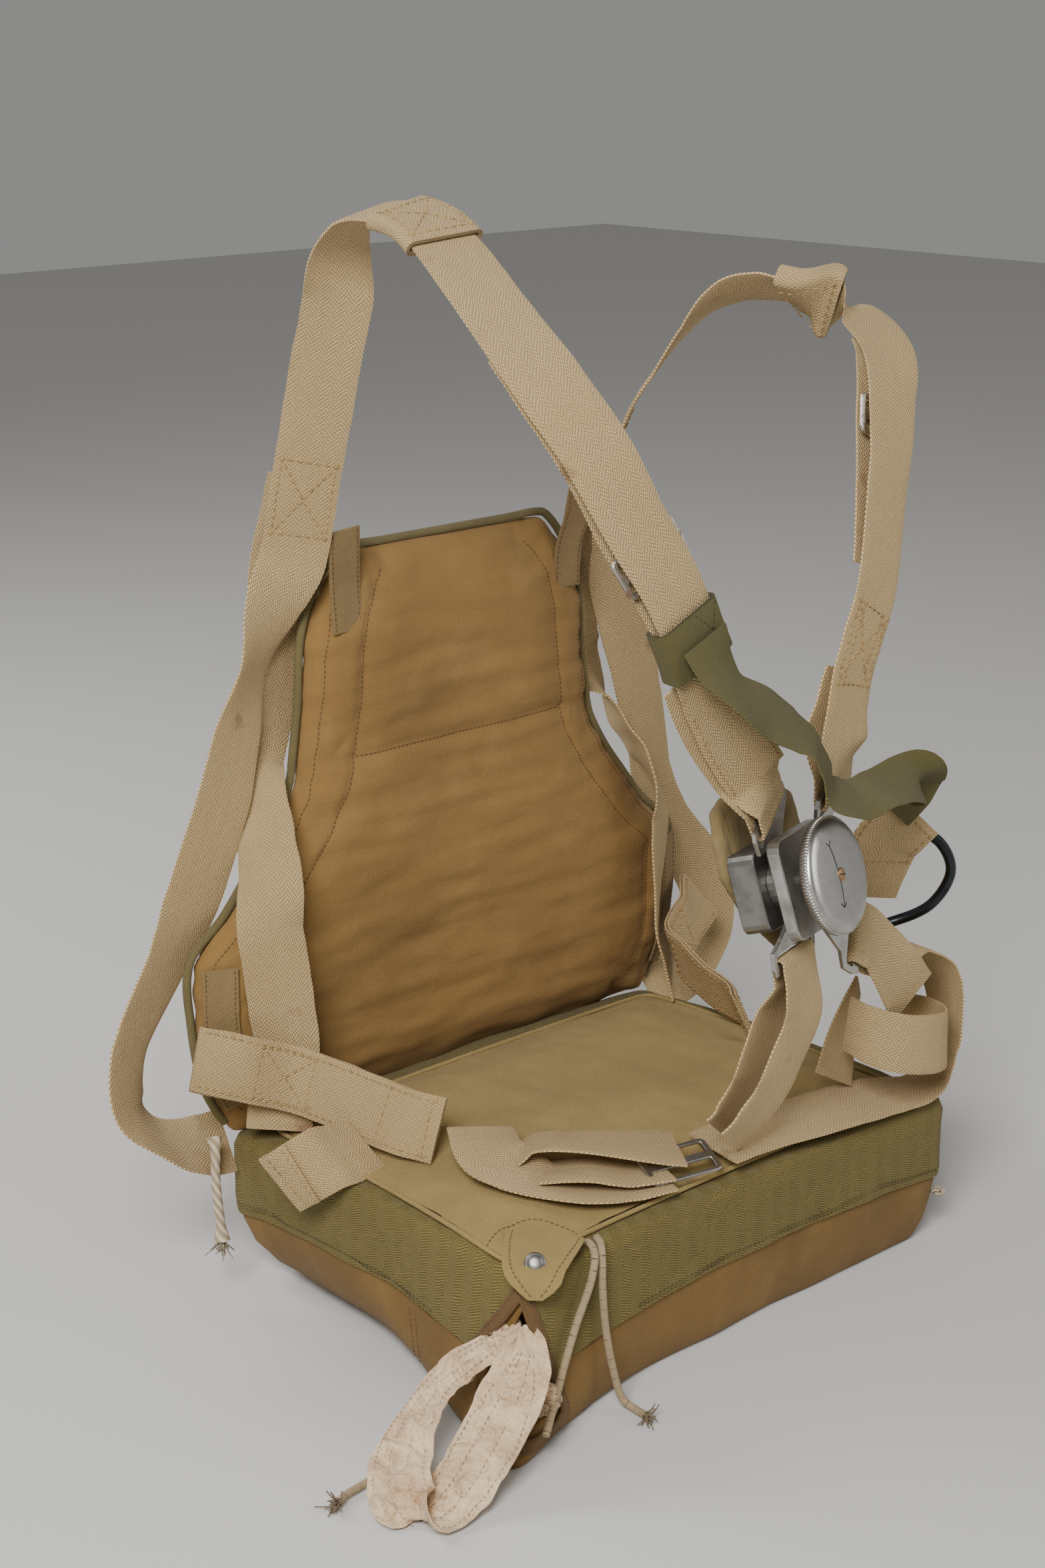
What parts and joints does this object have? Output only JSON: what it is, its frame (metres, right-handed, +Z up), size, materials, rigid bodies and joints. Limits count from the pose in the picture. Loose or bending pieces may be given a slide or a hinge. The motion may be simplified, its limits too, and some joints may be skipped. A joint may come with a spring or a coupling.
{
  "type": "seat parachute pack",
  "caption": "Packed seat parachute standing flat, with a padded back rest, webbing harness, turning release lock and pull handle.",
  "frame": {"origin": "centre of the pack's flat underside, on the floor", "axes": "+Z up; the wearer faces -Y, with their right side towards -X"},
  "size_m": [0.6505, 0.3841, 0.7536],
  "materials": {
    "canvas_brown": "worn brown cotton duck",
    "band_olive": "coarse olive herringbone tape",
    "canvas_olive": "faded olive cotton duck",
    "binding_tan": "tan cotton binding",
    "piping_olive": "olive cotton piping",
    "pad_brown": "soft tan-brown cotton",
    "webbing": "natural cotton or linen webbing",
    "webbing_olive": "thin olive webbing",
    "silk": "pale silk with a soft sheen",
    "cord_cream": "braided cream elastic cord",
    "cord_white": "soft white cotton cord",
    "steel": "worn plated steel",
    "dark_steel": "dark painted alloy"
  },
  "bodies": {
    "pack": {"pack_body": "canvas_brown", "pack_band": "band_olive", "seat_cushion": "canvas_olive", "cushion_tab": "canvas_olive", "tab_snap": "steel", "back_pad": "pad_brown", "back_piping": "piping_olive", "side_binding_right": "binding_tan", "side_binding_left": "binding_tan", "pad_tab_right": "binding_tan", "pad_tab_left": "binding_tan", "sling_right": "webbing", "sling_left": "webbing", "keeper_right": "webbing", "keeper_left": "webbing", "olive_band": "webbing_olive", "under_strap_right": "webbing", "under_strap_left": "webbing", "back_strap_right": "webbing", "back_strap_left": "webbing", "hip_strap_right": "webbing", "hip_strap_left": "webbing", "hip_free_end_right": "webbing", "slide_right": "steel", "slide_left": "steel", "leg_slide": "steel", "leg_strap_bundle": "webbing", "leg_strap_middle": "webbing", "leg_strap_tongue": "webbing", "leg_strap_lug": "webbing", "front_strap": "webbing", "free_loop": "webbing", "frayed_strap": "webbing", "olive_strap": "webbing_olive", "pocket_strap": "webbing_olive", "d_handle": "steel", "lock_plate": "dark_steel", "lock_base": "dark_steel", "lock_boss": "dark_steel", "lug_upper_right": "steel", "lug_upper_left": "steel", "lug_lower_right": "steel", "lug_lower_left": "steel", "lock_pad": "webbing_olive", "silk_loop": "silk", "elastic_cord_a": "cord_cream", "elastic_cord_a_end": "cord_cream", "elastic_cord_b": "cord_cream", "white_cord": "cord_white", "corner_knot": "cord_white"},
    "pressed": {"lock_spindle": "steel"},
    "turned": {"lock_disc": "steel"}
  },
  "joints": [
    {"name": "release_press", "type": "slide", "parent": "pack", "child": "pressed", "axis": [-0.2501, 0.9205, -0.3002], "range_m": [0, 0.004], "stiffness_N_per_m": 900},
    {"name": "release_turn", "type": "hinge", "parent": "pressed", "child": "turned", "pos_m": [0.039, -0.185, 0.322], "axis": [0.2501, -0.9205, 0.3002], "range_deg": [0, 90]}
  ]
}
